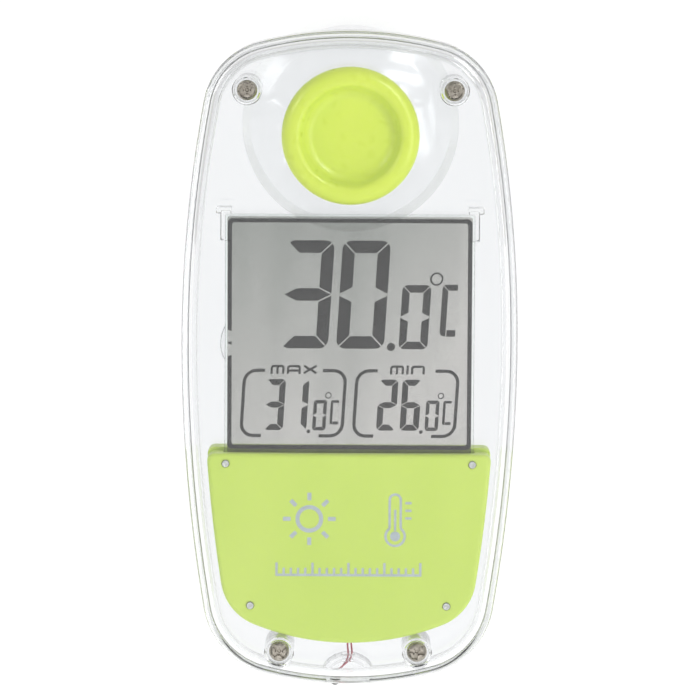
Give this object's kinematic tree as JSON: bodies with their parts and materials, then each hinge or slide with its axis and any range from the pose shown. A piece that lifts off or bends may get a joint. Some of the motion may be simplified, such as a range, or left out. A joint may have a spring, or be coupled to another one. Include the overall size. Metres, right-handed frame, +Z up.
{
  "type": "window thermometer",
  "caption": "Clear-cased digital thermometer with a see-through display and a green electronics module, hung by a keyhole on a suction cup.",
  "frame": {"origin": "centre of the suction cup's sealing plane, on the window pane", "axes": "+Y into the pane along the cup's axis, +Z up along the case, the display faces -Y"},
  "size_m": [0.07, 0.029, 0.1412],
  "materials": {
    "soft_clear": "soft clear PVC, glossy",
    "clear_case": "clear polished",
    "screw_nickel": "nickel plated, darker in the cross recess",
    "green_cap": "glossy lime green",
    "green_module": "satin lime green",
    "lcd_glass": "clear polished",
    "lcd_film": "neutral grey film",
    "lcd_border": "black",
    "dark_rubber": "matt",
    "circuit_board": "satin solder mask",
    "black_epoxy": "satin black",
    "ceramic_chip": "matt",
    "cell_steel": "satin",
    "solar_face": "glossy dark blue",
    "red_wire": "satin",
    "black_wire": "satin"
  },
  "bodies": {
    "suction_cup": {"suction_cup": "soft_clear"},
    "cup_stud": {"cup_stud": "clear_case"},
    "case": {"front_shell": "clear_case", "rear_shell": "clear_case", "case_seal": "soft_clear", "case_screw_top_left": "screw_nickel", "case_screw_top_right": "screw_nickel", "case_screw_bottom_left": "screw_nickel", "case_screw_bottom_right": "screw_nickel", "mount_cover": "green_cap", "lcd_front_polariser": "lcd_film", "lcd_front_glass": "lcd_glass", "lcd_border_seal": "lcd_border", "lcd_rear_glass": "lcd_glass", "lcd_rear_polariser": "lcd_film", "zebra_strip": "dark_rubber", "module_cover": "green_module", "module_frame": "green_module", "main_pcb": "circuit_board", "pcb_screw_left": "screw_nickel", "pcb_screw_right": "screw_nickel", "driver_chip_blob": "black_epoxy", "charge_diode": "black_epoxy", "filter_capacitor": "ceramic_chip", "supply_capacitor": "ceramic_chip", "sensor_resistor": "black_epoxy", "pull_up_resistor": "black_epoxy", "crystal_can": "cell_steel", "storage_cell": "cell_steel", "cell_tab_negative": "cell_steel", "cell_tab_positive": "cell_steel", "solar_cell": "solar_face", "solar_cell_tape": "dark_rubber", "reset_switch_body": "black_epoxy", "unit_switch_body": "black_epoxy", "solar_wire_red": "red_wire", "solar_wire_black": "black_wire", "sensor_wire_left": "red_wire", "sensor_wire_right": "red_wire", "thermistor_bead": "black_epoxy"},
    "reset_button": {"reset_button_cap": "green_cap", "reset_switch_plunger": "dark_rubber"},
    "unit_button": {"unit_button_cap": "green_cap", "unit_switch_plunger": "dark_rubber"}
  },
  "joints": [
    {"name": "stud_swivel", "type": "hinge", "parent": "suction_cup", "child": "cup_stud", "pos_m": [0, 0, 0], "axis": [0, 1, 0], "continuous": true},
    {"name": "case_lift", "type": "slide", "parent": "cup_stud", "child": "case", "axis": [0, 0, 1], "range_m": [0, 0.007]},
    {"name": "reset_press", "type": "slide", "parent": "case", "child": "reset_button", "axis": [0, -1, 0], "range_m": [0, 0.0004], "stiffness_N_per_m": 800, "springref_m": -0.0005},
    {"name": "unit_press", "type": "slide", "parent": "case", "child": "unit_button", "axis": [0, -1, 0], "range_m": [0, 0.0004], "stiffness_N_per_m": 800, "springref_m": -0.0005}
  ]
}
